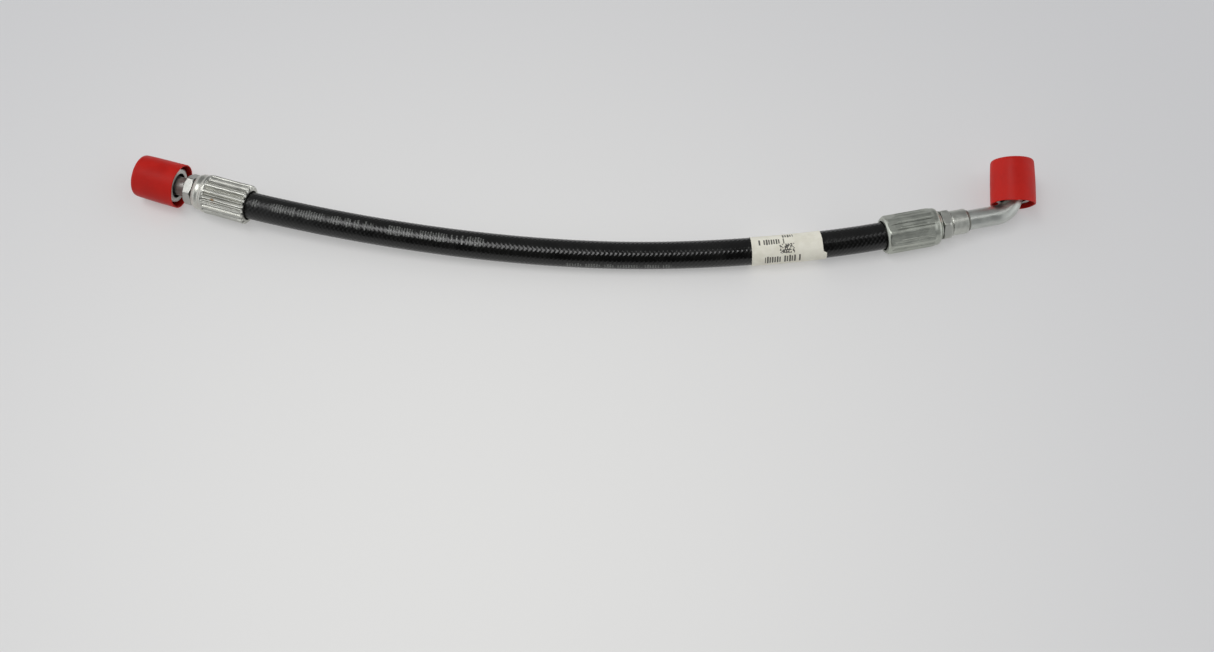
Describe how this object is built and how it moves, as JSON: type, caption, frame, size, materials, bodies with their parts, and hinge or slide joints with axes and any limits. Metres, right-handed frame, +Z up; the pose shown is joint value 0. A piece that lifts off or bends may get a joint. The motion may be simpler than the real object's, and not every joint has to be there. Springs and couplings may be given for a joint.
{
  "type": "hydraulic hose assembly",
  "caption": "Short wire-braided rubber hydraulic hose with crimped straight and bent-tube elbow swivel nut ends, both ports under push-on dust caps.",
  "frame": {"origin": "on the ground plane, under the middle of the object's box as it lies", "axes": "+X runs along the hose from the straight end to the elbow end, +Y is the side both ends bend towards, +Z is up from the ground"},
  "size_m": [0.451, 0.0607, 0.0272],
  "materials": {
    "zinc_plated_steel": "zinc plated, satin",
    "steel_wire": "bright drawn wire",
    "braze_metal": "plated over, satin",
    "black_rubber": "matt with a faint cloth impression",
    "paper_label": "matt off-white label stock",
    "red_vinyl": "soft vinyl, low gloss"
  },
  "bodies": {
    "hose": {"hose_inner_tube": "black_rubber", "hose_inner_braid": "steel_wire", "hose_braid_separator": "black_rubber", "hose_outer_braid": "steel_wire", "hose_cover": "black_rubber", "hose_label": "paper_label", "straight_ferrule": "zinc_plated_steel", "straight_nipple": "zinc_plated_steel"},
    "straight_nut": {"straight_swivel_nut": "zinc_plated_steel", "straight_retaining_wire": "steel_wire"},
    "straight_cap": {"straight_dust_cap": "red_vinyl"},
    "elbow_fitting": {"elbow_ferrule": "zinc_plated_steel", "elbow_stem": "zinc_plated_steel", "elbow_tube": "zinc_plated_steel", "elbow_socket_braze": "braze_metal", "elbow_seat": "zinc_plated_steel", "elbow_seat_braze": "braze_metal"},
    "elbow_nut": {"elbow_swivel_nut": "zinc_plated_steel", "elbow_retaining_wire": "steel_wire"},
    "elbow_cap": {"elbow_dust_cap": "red_vinyl"}
  },
  "joints": [
    {"name": "hose_flex", "type": "hinge", "parent": "hose", "child": "elbow_fitting", "pos_m": [0.0301, -0.0235, 0.0068], "axis": [0, 0, 1], "range_deg": [-27, 45], "deforming": ["hose_inner_tube", "hose_inner_braid", "hose_braid_separator", "hose_outer_braid", "hose_cover", "hose_label"]},
    {"name": "straight_nut_spin", "type": "hinge", "parent": "hose", "child": "straight_nut", "pos_m": [-0.20284, 0.01447, 0.0109], "axis": [-0.9548, 0.2974, 0], "continuous": true},
    {"name": "straight_cap_pull", "type": "slide", "parent": "straight_nut", "child": "straight_cap", "axis": [-0.9548, 0.2974, 0], "range_m": [0, 0.03]},
    {"name": "elbow_nut_spin", "type": "hinge", "parent": "elbow_fitting", "child": "elbow_nut", "pos_m": [0.21461, 0.0054, 0.01122], "axis": [0.0156, 0.9494, 0.3137], "continuous": true},
    {"name": "elbow_cap_pull", "type": "slide", "parent": "elbow_nut", "child": "elbow_cap", "axis": [0.0156, 0.9494, 0.3137], "range_m": [0, 0.03]}
  ]
}
